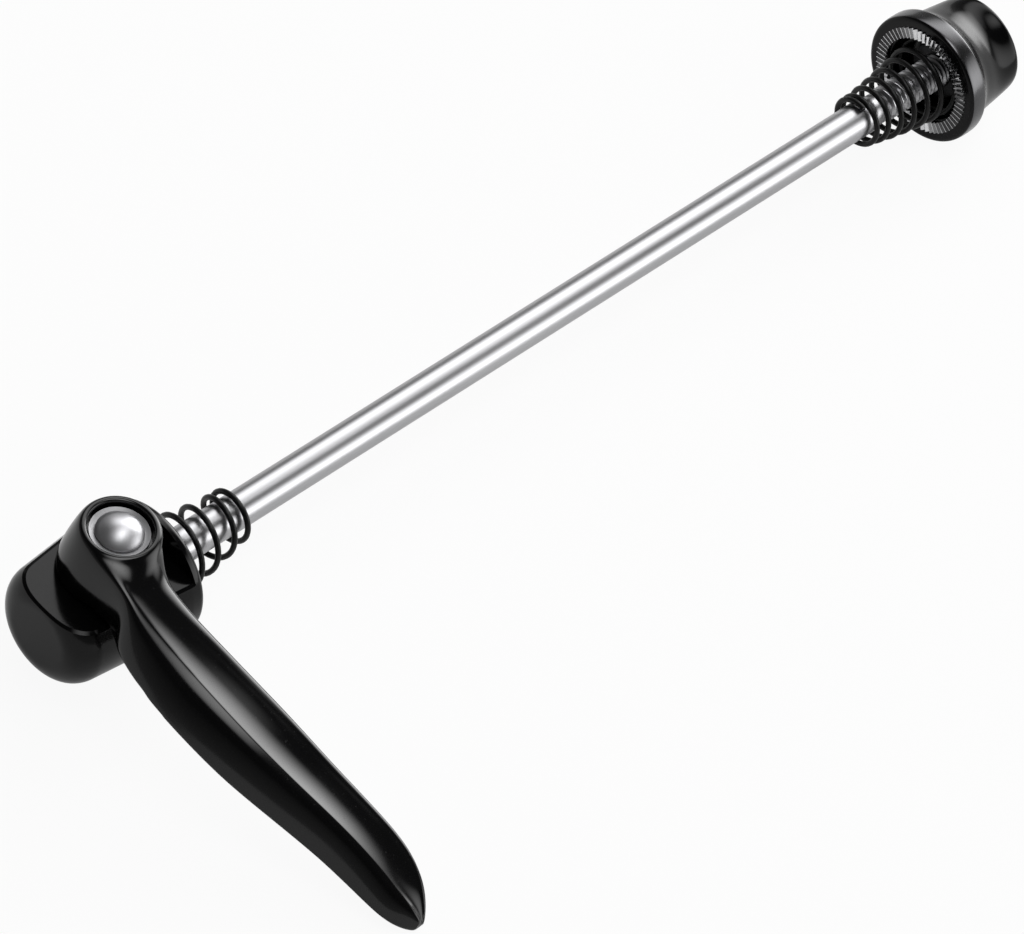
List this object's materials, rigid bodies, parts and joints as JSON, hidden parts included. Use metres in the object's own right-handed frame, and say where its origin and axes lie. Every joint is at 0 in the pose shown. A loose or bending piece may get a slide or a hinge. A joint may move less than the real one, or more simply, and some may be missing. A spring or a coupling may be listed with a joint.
{
  "type": "quick release skewer",
  "caption": "Quick release skewer: a cam lever in a barrel housing draws a slim rod, a screw-on nut faces it, and toothed rims with conical springs clamp a wheel hub between them.",
  "frame": {"origin": "on the rod's axis, in the plane of the clamp rim on the lever side", "axes": "+X along the rod towards the adjusting nut, +Z along the lever's pivot axis and up as it lies, -Y towards the tip of the closed lever"},
  "size_m": [0.1797, 0.0681, 0.024],
  "materials": {
    "black_paint": "gloss",
    "ring_steel": "bright",
    "satin_steel": "satin",
    "spring_steel": "satin",
    "washer_alloy": "satin",
    "spring_black": "semi-gloss",
    "bearing_plastic": "matte",
    "cap_plastic": "matte",
    "lock_plastic": "matte",
    "seal_rubber": "matte",
    "insert_steel": "blackened"
  },
  "bodies": {
    "housing": {"housing": "black_paint", "lever_clamp_ring": "ring_steel", "rod_guide": "bearing_plastic", "near_cam_bush": "bearing_plastic", "far_cam_bush": "bearing_plastic", "dust_cap": "cap_plastic", "lever_spring": "spring_black"},
    "lever": {"lever": "black_paint", "cam_shaft": "satin_steel", "pivot_washer": "washer_alloy", "shaft_seal": "seal_rubber", "shaft_clip": "spring_steel"},
    "rod": {"skewer_rod": "satin_steel"},
    "nut_spring": {"nut_spring": "spring_black"},
    "nut": {"nut_body": "black_paint", "nut_clamp_ring": "ring_steel", "nut_insert": "insert_steel", "nut_lock_ring": "lock_plastic"}
  },
  "joints": [
    {"name": "lever_swing", "type": "hinge", "parent": "housing", "child": "lever", "pos_m": [-0.0088, 0, 0], "axis": [0, 0, -1], "range_deg": [0, 180]},
    {"name": "rod_pull", "type": "slide", "parent": "housing", "child": "rod", "axis": [1, 0, 0], "range_m": [0, 0.002]},
    {"name": "nut_travel", "type": "slide", "parent": "rod", "child": "nut_spring", "axis": [1, 0, 0], "range_m": [-0.0016, 0.0032]},
    {"name": "nut_turn", "type": "hinge", "parent": "nut_spring", "child": "nut", "pos_m": [0.1466, 0, 0], "axis": [1, 0, 0], "range_deg": [-720, 1440]}
  ],
  "couplings": [
    {"joint": "rod_pull", "follows": "lever_swing", "m_per_rad": 0.00063662},
    {"joint": "nut_travel", "follows": "nut_turn", "m_per_rad": 0.00012732}
  ]
}
